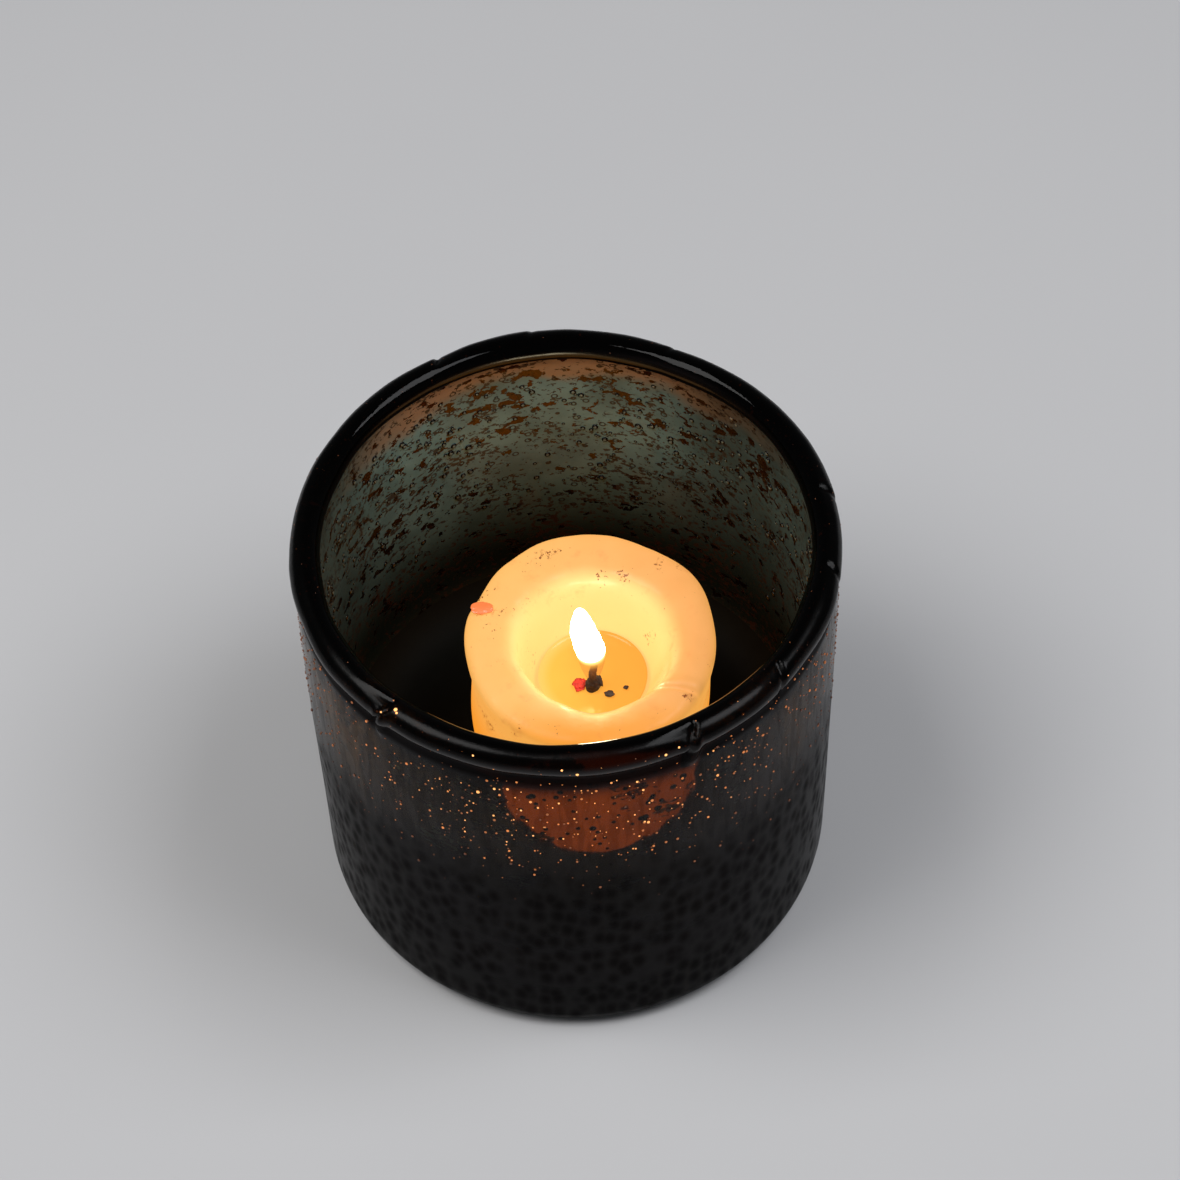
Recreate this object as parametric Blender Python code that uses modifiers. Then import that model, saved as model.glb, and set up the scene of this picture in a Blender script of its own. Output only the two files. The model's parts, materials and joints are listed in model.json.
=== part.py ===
# A hand-blown glass candle cup with a partly burnt pillar candle standing in it.
# Metres, +Z up. The origin is the middle of the cup's foot, on the surface it stands on.
# -Y is the front. The candle stands loose on the cup's floor, a little to the right of the middle.

import math

import bmesh
import bpy
from mathutils import Matrix, Vector

# Cup
CUP_HEIGHT = 0.093
RIM_RADIUS = 0.050          # outside of the rim bead
BEAD_RADIUS = 0.0029        # the rim bead's own section
WALL_OUTER = 0.0496         # outside of the wall at mid height
NECK_OUTER = 0.0491         # the slight waist just under the bead
WALL_THICK = 0.0040
HEEL_RADIUS = 0.0050        # round between the wall and the foot
FOOT_INNER = 0.0360         # inner edge of the flat ring that the cup stands on
KICK_UP = 0.0016            # height of the hollow under the cup
FLOOR_TOP = 0.0187          # inside floor, on a thick heavy base
FLOOR_FILLET = 0.0090
CUP_STEPS = 64

# Tool nicks pressed into the rim bead: angle from +X in degrees, width, depth
NICK_BAR = 0.012            # length of the bar that cuts one
NICKS = [
    (10, 0.0034, 0.0009),
    (65, 0.0044, 0.0007),
    (119, 0.0030, 0.0010),
    (229, 0.0036, 0.0013),
    (296, 0.0040, 0.0013),
    (320, 0.0030, 0.0010),
    (349, 0.0030, 0.0009),
]

# Candle
GAP = 0.0003                # between pieces that touch
CANDLE_X, CANDLE_Y = 0.0041, -0.0010
CANDLE_BASE = FLOOR_TOP + GAP
CANDLE_TOP = 0.0620
CANDLE_RADIUS = 0.0202
LIP_RADIUS = 0.0242         # the slumped lip round the top
CRATER_RADIUS = 0.0162      # edge where the top turns down into the crater
POOL_RADIUS = 0.0108
POOL_TOP = 0.0490
POOL_DEPTH = 0.0024
CRATER_FLOOR = POOL_TOP - POOL_DEPTH
CANDLE_STEPS = 56

# Wick: it stands a little in front of the candle's middle
WICK_X, WICK_Y = 0.0039, -0.0040
WICK_RADIUS = 0.0010
WICK_TOP = 0.0570
TAB_RADIUS = 0.0095
TAB_THICK = 0.0004
TAB_NECK_RADIUS = 0.0019
TAB_NECK_TOP = 0.0045       # above the tab's underside
FLOAT_HEIGHT = POOL_TOP + GAP


def clear_scene():
    for thing in list(bpy.data.objects):
        bpy.data.objects.remove(thing, do_unlink=True)


def make_collection(name):
    collection = bpy.data.collections.new(name)
    bpy.context.scene.collection.children.link(collection)
    return collection


def make_material(name, colour, roughness, metallic=0.0, transmission=0.0):
    material = bpy.data.materials.new(name)
    material.use_nodes = True
    shader = material.node_tree.nodes["Principled BSDF"]
    shader.inputs["Base Color"].default_value = (*colour, 1.0)
    shader.inputs["Roughness"].default_value = roughness
    shader.inputs["Metallic"].default_value = metallic
    shader.inputs["Transmission Weight"].default_value = transmission
    material.diffuse_color = (*colour, 1.0)
    return material


def add_object(name, mesh, collection, material=None):
    thing = bpy.data.objects.new(name, mesh)
    collection.objects.link(thing)
    if material:
        mesh.materials.append(material)
    return thing


def arc(centre, radius, start, end, steps):
    """Points of an arc in the (radius, height) plane, angles in degrees."""
    points = []
    for i in range(steps + 1):
        angle = math.radians(start + (end - start) * i / steps)
        points.append((centre[0] + radius * math.cos(angle), centre[1] + radius * math.sin(angle)))
    return points


def turned(name, outline, steps, collection, material=None):
    """A Screw modifier on an outline of (radius, height) points that runs down its outer side."""
    bm = bmesh.new()
    points = [bm.verts.new((r, 0.0, z)) for r, z in outline]
    for a, b in zip(points, points[1:]):
        bm.edges.new((a, b))
    mesh = bpy.data.meshes.new(name)
    bm.to_mesh(mesh)
    bm.free()
    thing = add_object(name, mesh, collection, material)
    screw = thing.modifiers.new("Turn", "SCREW")
    screw.axis = "Z"
    screw.angle = 2 * math.pi
    screw.steps = screw.render_steps = steps
    screw.use_merge_vertices = True
    screw.merge_threshold = 0.00001
    screw.use_smooth_shade = True
    return thing


def cut(thing, cutter):
    boolean = thing.modifiers.new("Cut " + cutter.name, "BOOLEAN")
    boolean.operation = "DIFFERENCE"
    boolean.solver = "EXACT"
    boolean.object = cutter


def hide_cutter(cutter):
    cutter.hide_render = True
    cutter.display_type = "WIRE"


def cup_outline():
    bead_r, bead_z = RIM_RADIUS - BEAD_RADIUS, CUP_HEIGHT - BEAD_RADIUS
    wall_inner = WALL_OUTER - WALL_THICK
    fillet_r, fillet_z = wall_inner - FLOOR_FILLET, FLOOR_TOP + FLOOR_FILLET
    heel_r = WALL_OUTER - HEEL_RADIUS
    outline = [(0.0, FLOOR_TOP), (0.012, FLOOR_TOP), (0.026, FLOOR_TOP)]
    outline += arc((fillet_r, fillet_z), FLOOR_FILLET, -90, 0, 6)
    outline += [(wall_inner, 0.050), (wall_inner, 0.078), (wall_inner - 0.0003, 0.0845)]
    outline += arc((bead_r, bead_z), BEAD_RADIUS, 202.5, -45, 11)
    outline += [(NECK_OUTER, 0.0862), (WALL_OUTER, 0.077), (WALL_OUTER + 0.0002, 0.052)]
    outline += [(WALL_OUTER, 0.026)]
    outline += arc((heel_r, HEEL_RADIUS), HEEL_RADIUS, 0, -90, 6)
    outline += [(FOOT_INNER, 0.0), (0.0335, 0.0007), (0.022, KICK_UP), (0.0, KICK_UP)]
    return outline


def make_cup(collection, cutters):
    glass = make_material("smoke_glass", (0.020, 0.018, 0.015), 0.06, transmission=0.6)
    cup = turned("glass_cup", cup_outline(), CUP_STEPS, collection, glass)
    for index, (degrees, width, depth) in enumerate(NICKS):
        # A three-sided bar laid across the bead, edge down
        bm = bmesh.new()
        bmesh.ops.create_cone(
            bm, cap_ends=True, segments=3, radius1=width / 2, radius2=width / 2, depth=NICK_BAR
        )
        edge_down = Matrix.Rotation(math.radians(90), 4, "Y")
        lift = CUP_HEIGHT - depth + width / 2
        over_bead = Matrix.Translation((RIM_RADIUS - BEAD_RADIUS, 0.0, lift))
        round_rim = Matrix.Rotation(math.radians(degrees), 4, "Z")
        bmesh.ops.transform(bm, matrix=round_rim @ over_bead @ edge_down, verts=bm.verts)
        mesh = bpy.data.meshes.new(f"nick_{index}")
        bm.to_mesh(mesh)
        bm.free()
        cutter = add_object(f"nick_{index}", mesh, cutters)
        hide_cutter(cutter)
        cut(cup, cutter)
    return cup


def candle_outline():
    """Crater floor, crater wall, the rounded top, the overhanging lip and the straight side."""
    base, top = CANDLE_BASE, CANDLE_TOP
    outline = [(0.0, CRATER_FLOOR), (0.0050, CRATER_FLOOR), (0.0102, CRATER_FLOOR)]
    outline += [(POOL_RADIUS + 0.0002, POOL_TOP), (0.0126, 0.0522), (0.0143, 0.0555)]
    outline += [(CRATER_RADIUS - 0.0004, 0.0592), (CRATER_RADIUS + 0.0009, 0.0609)]
    outline += [(0.0193, top), (0.0216, top - 0.0003), (LIP_RADIUS - 0.0007, top - 0.0012)]
    outline += [(LIP_RADIUS, top - 0.0032), (LIP_RADIUS - 0.0008, top - 0.0060)]
    outline += [(0.0220, 0.0520), (0.0208, 0.0460), (CANDLE_RADIUS, 0.0380)]
    outline += [(CANDLE_RADIUS, base + 0.0010), (CANDLE_RADIUS - 0.0010, base), (0.0, base)]
    return outline


def make_candle(collection, cutters):
    wax = make_material("candle_wax", (0.90, 0.72, 0.50), 0.35)
    candle = turned("candle_body", candle_outline(), CANDLE_STEPS, collection, wax)
    candle.location = (CANDLE_X, CANDLE_Y, 0.0)
    # The wick's hole through the wax and the pocket under it for the tab
    bore = WICK_RADIUS + GAP
    pocket = [(0.0, POOL_TOP + 0.002), (bore, POOL_TOP + 0.002)]
    neck_top = CANDLE_BASE + TAB_NECK_TOP + GAP
    pocket += [(bore, neck_top), (TAB_NECK_RADIUS + GAP, neck_top)]
    tab_top = CANDLE_BASE + TAB_THICK + 2 * GAP
    pocket += [(TAB_NECK_RADIUS + GAP, tab_top), (TAB_RADIUS + GAP, tab_top)]
    pocket += [(TAB_RADIUS + GAP, CANDLE_BASE - 0.002), (0.0, CANDLE_BASE - 0.002)]
    cutter = turned("wick_pocket", pocket, 24, cutters)
    cutter.location = (WICK_X, WICK_Y, 0.0)
    hide_cutter(cutter)
    cut(candle, cutter)
    return candle


def make_pool(collection, cutters):
    melt = make_material("molten_wax", (0.95, 0.66, 0.33), 0.05)
    low = CRATER_FLOOR + GAP
    outline = [(0.0, POOL_TOP), (POOL_RADIUS - 0.0004, POOL_TOP)]
    outline += [(0.0101, low + 0.0004), (0.0097, low), (0.0, low)]
    pool = turned("wax_pool", outline, 40, collection, melt)
    pool.location = (CANDLE_X, CANDLE_Y, 0.0)
    bore = WICK_RADIUS + GAP
    hole = [(0.0, POOL_TOP + 0.002), (bore, POOL_TOP + 0.002), (bore, low - 0.002), (0.0, low - 0.002)]
    cutter = turned("pool_hole", hole, 20, cutters)
    cutter.location = (WICK_X, WICK_Y, 0.0)
    hide_cutter(cutter)
    cut(pool, cutter)
    return pool


def make_wick(collection):
    cotton = make_material("burnt_wick", (0.05, 0.03, 0.02), 0.95)
    curve = bpy.data.curves.new("wick", "CURVE")
    curve.dimensions = "3D"
    curve.bevel_depth = WICK_RADIUS
    curve.bevel_resolution = 2
    curve.use_fill_caps = True
    foot = CANDLE_BASE + TAB_THICK + 2 * GAP
    straight_top = POOL_TOP + 0.001
    points = [(0.0, 0.0, foot), (0.0, 0.0, 0.030), (0.0, 0.0, straight_top)]
    points += [(0.0001, 0.0001, 0.0530), (0.0003, 0.0004, 0.0552), (0.0006, 0.0008, WICK_TOP)]
    spline = curve.splines.new("POLY")
    spline.points.add(len(points) - 1)
    for point, (x, y, z) in zip(spline.points, points):
        point.co = (x, y, z, 1.0)
    wick = bpy.data.objects.new("wick", curve)
    curve.materials.append(cotton)
    wick.location = (WICK_X, WICK_Y, 0.0)
    collection.objects.link(wick)
    return wick


def make_sustainer(collection):
    tin = make_material("tinned_steel", (0.62, 0.62, 0.60), 0.30, metallic=1.0)
    low, face = CANDLE_BASE, CANDLE_BASE + TAB_THICK
    bore, neck_top = WICK_RADIUS + GAP, CANDLE_BASE + TAB_NECK_TOP
    outline = [(0.0, face), (bore, face), (bore, neck_top), (TAB_NECK_RADIUS, neck_top)]
    outline += [(TAB_NECK_RADIUS, face), (TAB_RADIUS, face), (TAB_RADIUS, low), (0.0, low)]
    tab = turned("wick_sustainer", outline, 28, collection, tin)
    tab.location = (WICK_X, WICK_Y, 0.0)
    return tab


def make_chip(name, size, place, turn, sides, collection, material):
    """A thin many-sided chip, size = (length, width, thickness), with its underside at place."""
    length, width, thick = size
    bm = bmesh.new()
    bmesh.ops.create_cone(
        bm, cap_ends=True, segments=sides, radius1=0.5, radius2=0.38, depth=1.0
    )
    bmesh.ops.scale(bm, vec=(length, width, thick), verts=bm.verts)
    bmesh.ops.rotate(bm, matrix=Matrix.Rotation(math.radians(turn), 3, "Z"), verts=bm.verts)
    bmesh.ops.translate(bm, vec=(0.0, 0.0, thick / 2), verts=bm.verts)
    mesh = bpy.data.meshes.new(name)
    bm.to_mesh(mesh)
    bm.free()
    chip = add_object(name, mesh, collection, material)
    chip.location = place
    return chip


def make_crumbs(collection):
    char = make_material("char", (0.03, 0.015, 0.01), 0.9)
    red = make_material("red_wax", (0.70, 0.06, 0.02), 0.4)
    orange = make_material("orange_wax", (0.95, 0.34, 0.12), 0.4)
    # The burnt lump leans on the wick's right side, clear of it by the gap
    lump = Vector((WICK_X + WICK_RADIUS + GAP + 0.0008, WICK_Y + 0.0008, FLOAT_HEIGHT))
    make_chip("wick_crumb", (0.0014, 0.0022, 0.0018), lump, 0, 7, collection, char)
    chip = Vector((WICK_X - WICK_RADIUS - GAP - 0.0011, WICK_Y + 0.0007, FLOAT_HEIGHT))
    make_chip("red_chip", (0.0019, 0.0024, 0.0007), chip, 8, 6, collection, red)
    large = (0.00715, -0.0056, FLOAT_HEIGHT)
    make_chip("char_flake_large", (0.0018, 0.0014, 0.0004), large, 10, 5, collection, char)
    small = (0.0103, -0.0042, FLOAT_HEIGHT)
    make_chip("char_flake_small", (0.0009, 0.0009, 0.0003), small, 30, 5, collection, char)
    dab = (-0.0166, 0.0062, CANDLE_TOP + GAP)
    make_chip("wax_dab", (0.0042, 0.0026, 0.0006), dab, -4, 10, collection, orange)


def main():
    clear_scene()
    parts = make_collection("tealight_holder")
    cutters = make_collection("cutters")
    make_cup(parts, cutters)
    make_candle(parts, cutters)
    make_pool(parts, cutters)
    make_wick(parts)
    make_sustainer(parts)
    make_crumbs(parts)


main()
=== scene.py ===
# Blown glass candle cup with a burning pillar candle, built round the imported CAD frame.
import json
import math
import random

import bmesh
import bpy
from mathutils import Matrix, Vector, noise

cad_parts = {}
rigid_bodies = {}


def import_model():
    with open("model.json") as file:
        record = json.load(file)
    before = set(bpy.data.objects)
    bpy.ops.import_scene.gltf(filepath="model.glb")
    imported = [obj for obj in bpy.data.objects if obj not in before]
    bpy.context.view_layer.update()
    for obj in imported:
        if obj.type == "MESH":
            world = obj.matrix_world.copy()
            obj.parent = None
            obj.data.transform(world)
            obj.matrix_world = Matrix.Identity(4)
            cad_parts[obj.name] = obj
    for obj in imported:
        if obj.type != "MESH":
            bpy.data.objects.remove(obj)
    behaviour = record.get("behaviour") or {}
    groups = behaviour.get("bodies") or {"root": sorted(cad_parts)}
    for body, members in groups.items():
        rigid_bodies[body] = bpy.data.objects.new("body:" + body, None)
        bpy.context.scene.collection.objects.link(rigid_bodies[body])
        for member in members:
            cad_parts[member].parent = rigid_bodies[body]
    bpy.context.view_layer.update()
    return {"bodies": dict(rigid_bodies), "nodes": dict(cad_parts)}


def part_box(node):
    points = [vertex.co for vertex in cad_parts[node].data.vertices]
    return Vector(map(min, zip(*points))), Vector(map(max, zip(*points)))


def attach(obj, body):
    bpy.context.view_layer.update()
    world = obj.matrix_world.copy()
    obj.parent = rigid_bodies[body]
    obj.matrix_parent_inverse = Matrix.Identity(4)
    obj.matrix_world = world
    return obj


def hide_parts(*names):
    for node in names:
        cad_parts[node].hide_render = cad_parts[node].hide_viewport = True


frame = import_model()
mm = 0.001


class Field:
    def __init__(self, finish, socket):
        self.finish = finish
        self.socket = socket

    def calc(self, operation, other):
        return self.finish.node("ShaderNodeMath", {"operation": operation}, {0: self, 1: other})

    def __add__(self, other):
        return self.calc("ADD", other)

    def __sub__(self, other):
        return self.calc("SUBTRACT", other)

    def __rsub__(self, other):
        return self.finish.node("ShaderNodeMath", {"operation": "SUBTRACT"}, {0: other, 1: self})

    def __mul__(self, other):
        return self.calc("MULTIPLY", other)

    def __truediv__(self, other):
        return self.calc("DIVIDE", other)


class Finish:
    def __init__(self, name):
        self.material = bpy.data.materials.new(name)
        self.material.use_nodes = True
        self.tree = self.material.node_tree
        self.tree.nodes.clear()

    def node(self, kind, settings=None, sockets=None, out=0):
        made = self.tree.nodes.new(kind)
        for key, value in (settings or {}).items():
            if key == "stops":
                ramp = made.color_ramp
                while len(ramp.elements) < len(value):
                    ramp.elements.new(0.5)
                for element, (place, colour) in zip(ramp.elements, value):
                    element.position = place
                    element.color = (*colour, 1.0)
            else:
                setattr(made, key, value)
        for key, value in (sockets or {}).items():
            if isinstance(value, Field):
                self.tree.links.new(value.socket, made.inputs[key])
            elif isinstance(value, tuple) and len(value) == 3 and made.inputs[key].type == "RGBA":
                made.inputs[key].default_value = (*value, 1.0)
            else:
                made.inputs[key].default_value = value
        return Field(self, made.outputs[out])

    def place(self):
        return self.node("ShaderNodeTexCoord", out=3)

    def axes(self, vector):
        return [self.node("ShaderNodeSeparateXYZ", None, {0: vector}, i) for i in range(3)]

    def stretched(self, vector, scale, shift=(0, 0, 0)):
        return self.node("ShaderNodeMapping", None, {"Vector": vector, "Location": shift, "Scale": scale})

    def noise(self, vector, scale, detail=3.0, rough=0.5, warp=0.0):
        sockets = {"Vector": vector, "Scale": scale, "Detail": detail, "Roughness": rough,
                   "Distortion": warp}
        return self.node("ShaderNodeTexNoise", None, sockets)

    def cells(self, vector, scale, out=0, jitter=1.0):
        sockets = {"Vector": vector, "Scale": scale, "Randomness": jitter}
        return self.node("ShaderNodeTexVoronoi", None, sockets, out)

    def step(self, value, low, high, start=0.0, end=1.0):
        sockets = {"Value": value, "From Min": low, "From Max": high, "To Min": start, "To Max": end}
        return self.node("ShaderNodeMapRange", {"interpolation_type": "SMOOTHSTEP"}, sockets)

    def mix(self, factor, first, second):
        return self.node("ShaderNodeMix", {"data_type": "RGBA"}, {0: factor, 6: first, 7: second}, 2)

    def ramp(self, value, stops):
        return self.node("ShaderNodeValToRGB", {"stops": stops}, {0: value})

    def bump(self, height, strength, distance):
        sockets = {"Height": height, "Strength": strength, "Distance": distance}
        return self.node("ShaderNodeBump", None, sockets)

    def surface(self, sockets):
        return self.node("ShaderNodeBsdfPrincipled", None, sockets)

    def blend(self, factor, first, second):
        return self.node("ShaderNodeMixShader", None, {0: factor, 1: first, 2: second})

    def reach(self, vector, origin):
        # how far a place is from one point
        moved = self.stretched(vector, (1, 1, 1), tuple(-c for c in origin))
        return self.node("ShaderNodeVectorMath", {"operation": "LENGTH"}, {0: moved}, 1)

    def done(self, shader):
        out = self.tree.nodes.new("ShaderNodeOutputMaterial")
        self.tree.links.new(shader.socket, out.inputs["Surface"])
        return self.material


def makePiece(name, bm, materials, body, replaced=()):
    mesh = bpy.data.meshes.new(name)
    bm.to_mesh(mesh)
    bm.free()
    mesh.shade_smooth()
    for material in materials:
        mesh.materials.append(material)
    piece = bpy.data.objects.new(name, mesh)
    bpy.context.scene.collection.objects.link(piece)
    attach(piece, body)
    if replaced:
        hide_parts(*replaced)
    return piece


def arc(centre, radius, start, end, count):
    points = []
    for i in range(count + 1):
        a = math.radians(start + (end - start) * i / count)
        points.append((centre[0] + radius * math.cos(a), centre[1] + radius * math.sin(a)))
    return points


def between(first, last, count):
    # points after first, up to and including last
    return [(first[0] + (last[0] - first[0]) * i / count, first[1] + (last[1] - first[1]) * i / count)
            for i in range(1, count + 1)]


def smoothLine(points, count):
    # an even Catmull-Rom curve through the outline's points
    spans = len(points) - 1
    line = []
    for k in range(count + 1):
        t = k / count * spans
        i = min(int(t), spans - 1)
        f = t - i
        p = [Vector(points[max(0, min(spans, i + j))]) for j in (-1, 0, 1, 2)]
        line.append(tuple(0.5 * (2 * p[1] + (p[2] - p[0]) * f
                                 + (2 * p[0] - 5 * p[1] + 4 * p[2] - p[3]) * f * f
                                 + (3 * p[1] - p[0] - 3 * p[2] + p[3]) * f * f * f)))
    return line


def turned(points, steps, centre=(0, 0)):
    # the outline runs from the top middle outwards and down to the bottom middle
    bm = bmesh.new()
    verts = [bm.verts.new((r, 0, z)) for r, z in points]
    edges = [bm.edges.new(pair) for pair in zip(verts, verts[1:])]
    bmesh.ops.spin(bm, geom=verts + edges, cent=(0, 0, 0), axis=(0, 0, 1), angle=2 * math.pi,
                   steps=steps, use_merge=True)
    bmesh.ops.remove_doubles(bm, verts=bm.verts, dist=0.000002)
    bmesh.ops.recalc_face_normals(bm, faces=bm.faces)
    bmesh.ops.translate(bm, verts=bm.verts, vec=(*centre, 0))
    return bm


def ease(value, low, high):
    t = min(1.0, max(0.0, (value - low) / (high - low)))
    return t * t * (3 - 2 * t)


def turnGap(angle, other):
    return (angle - other + math.pi) % (2 * math.pi) - math.pi


def polar(angle, tilt=0.0):
    return Vector((math.cos(angle) * math.cos(tilt), math.sin(angle) * math.cos(tilt), math.sin(tilt)))


def around(angle, stations):
    # a smooth closed value from (degrees, value) stations
    degrees = math.degrees(angle) % 360
    before = [s for s in stations if s[0] <= degrees] or [(stations[-1][0] - 360, stations[-1][1])]
    after = [s for s in stations if s[0] > degrees] or [(stations[0][0] + 360, stations[0][1])]
    low, high = before[-1], after[0]
    return low[1] + (high[1] - low[1]) * ease(degrees, low[0], high[0])


cup = {
    "steps": 640,
    "bead": 2.9 * mm,
    "wallOut": 49.6 * mm,
    "wallIn": 45.6 * mm,
    # the outside wall from the heel to the neck under the bead: height, radius
    "wallLine": [(5 * mm, 49.6 * mm), (50 * mm, 49.8 * mm), (80 * mm, 49.55 * mm), (86.6 * mm, 49.35 * mm)],
    "floor": 18.7 * mm,
    "fillet": 9 * mm,
    "heel": 5 * mm,
    "foot": 36 * mm,
    "kickUp": 1.6 * mm,
    "filmTop": 88.4 * mm,
    "deepTop": 25 * mm,       # painted shade: the inside is near black below this
    "wave": 0.16 * mm,
    "dip": {"depth": 0.9, "at": 62, "spread": 0.42},     # where the rim is lowest
    "sway": 0.35,
    "tail": {"low": 83.0 * mm, "high": 87.6 * mm, "raised": 0.75 * mm},
    # where the bead's strokes end in a fold: angle, length of the tapering end, depth
    "folds": [(10, 6, 0.6), (65, 9, 0.35), (97, 7, 0.4), (119, 7, 0.9), (229, 9, 1.9), (296, 9, 1.6),
              (320, 6, 1.0), (349, 6, 0.6)],
}
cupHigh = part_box("glass_cup")[1]
cup["top"] = cupHigh.z
cup["beadR"] = cupHigh.x - cup["bead"]
cup["beadZ"] = cupHigh.z - cup["bead"]


def cupOutline():
    c = cup
    filletR, filletZ = c["wallIn"] - c["fillet"], c["floor"] + c["fillet"]
    heelR = c["wallOut"] - c["heel"]
    points = [(0, c["floor"])] + between((0, c["floor"]), (filletR, c["floor"]), 7)
    points += arc((filletR, filletZ), c["fillet"], -90, 0, 8)[1:]
    points += between(points[-1], (c["wallIn"], 82 * mm), 36)
    points += between(points[-1], (c["wallIn"] - 0.5 * mm, 86.6 * mm), 4)
    points += arc((c["beadR"], c["beadZ"]), c["bead"], 212, -36, 26)
    for (z, radius), count in zip(reversed(c["wallLine"]), (2, 7, 16, 14)):
        points += between(points[-1], (radius, z), count)
    points += arc((heelR, c["heel"]), c["heel"], 0, -90, 7)[1:]
    points += between(points[-1], (c["foot"], 0), 2) + [(33.5 * mm, 0.7 * mm), (28 * mm, 1.3 * mm)]
    points += [(22 * mm, c["kickUp"]), (10 * mm, c["kickUp"]), (0, c["kickUp"])]
    return points


def fold(angle, spoke, out):
    # how a place on the bead moves at the folds: a slanting groove, and the stroke before it tapers into it
    side = math.atan2(spoke.z, spoke.dot(out))
    if side < -1.2:
        side += 2 * math.pi
    move = Vector((0, 0, 0))
    for degrees, length, depth in cup["folds"]:
        along = turnGap(angle, math.radians(degrees)) * cup["beadR"] / mm - 1.2 * (side - 1.2)
        if -length < along < 3:
            taper = ease(along, -length, -0.3) * (1 - ease(along, -0.3, 0.6)) * depth
            move -= spoke * (0.14 * math.exp(-(along / 0.55) ** 2) * depth + 0.10 * taper)
            move += (out * 0.12 - Vector((0, 0, 0.35))) * taper * mm
    return move * (1 - ease(side, 1.2, 2.0))


def rimMove(co):
    # the rim leans, dips and swells a little, as hand work does
    angle = math.atan2(co.y, co.x)
    out = polar(angle)
    lowest = cup["dip"]
    dip = -lowest["depth"] * math.exp(-(turnGap(angle, math.radians(lowest["at"])) / lowest["spread"]) ** 2)
    sway = cup["sway"] * noise.noise(Vector((out.x * 1.7, out.y * 1.7, 3.3)))
    move = Vector((0, 0, ease(co.z, 70 * mm, 92 * mm) * (dip + sway - 0.15) * mm))
    fromBead = Vector((math.hypot(co.x, co.y) - cup["beadR"], co.z - cup["beadZ"]))
    thick = noise.noise(Vector((out.x * 4.5, out.y * 4.5, 11)))
    near = 1 - ease(fromBead.length, cup["bead"] * 1.15, cup["bead"] * 2.4)
    if co.z > 80 * mm and near > 0:
        move += out * fromBead.x * 0.10 * (thick - 0.25) * near
        move.z += fromBead.y * 0.08 * (thick - 0.4) * near
        move += fold(angle, out * fromBead.x + Vector((0, 0, fromBead.y)), out) * near
    return move


def wallWave(out, z):
    # slow waves and fine upright ripples of blown glass
    slow = noise.noise(Vector((out.x * 2.4, out.y * 2.4, z * 38)))
    fine = noise.noise(Vector((out.x * 17, out.y * 17, z * 24 + 5)))
    return cup["wave"] * ease(z, 6 * mm, 14 * mm) * (slow + 0.22 * fine)


def wallRadius(z):
    for (low, first), (high, last) in zip(cup["wallLine"], cup["wallLine"][1:]):
        if low <= z <= high:
            return first + (last - first) * (z - low) / (high - low)


def shapeCup(v):
    c = cup
    radius = math.hypot(v.co.x, v.co.y)
    if radius < 1 * mm:
        return
    angle = math.atan2(v.co.y, v.co.x)
    out = polar(angle)
    z = v.co.z
    if z > 6 * mm and radius > c["wallOut"] - 0.6 * mm:
        v.co += out * wallWave(out, z)
        # the deepest folds trail tails down the wall
        tail = c["tail"]
        for degrees, _, depth in c["folds"]:
            along = abs(turnGap(angle, math.radians(degrees)) * radius / mm + 1.0)
            drawn = ease(z, tail["low"], tail["high"]) * (depth > 1.5)
            v.co += out * tail["raised"] * drawn * (1 - ease(along, 0.6 * drawn, 0.4 + 2.0 * drawn))
    elif c["floor"] + 4 * mm < z < c["filmTop"]:
        slow = noise.noise(Vector((out.x * 3.1 + 9, out.y * 3.1, z * 45)))
        fine = noise.noise(Vector((out.x * 14, out.y * 14 + 7, z * 60)))
        v.co += out * c["wave"] * (0.9 * slow + 0.35 * fine)
    v.co += rimMove(v.co)


def wallTint(f, z):
    # clear enough for a flame above the overlay's end, near black below it
    return f.mix(f.step(z, 44 * mm, 56 * mm), (0.006, 0.004, 0.003), (0.215, 0.094, 0.012))


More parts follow.
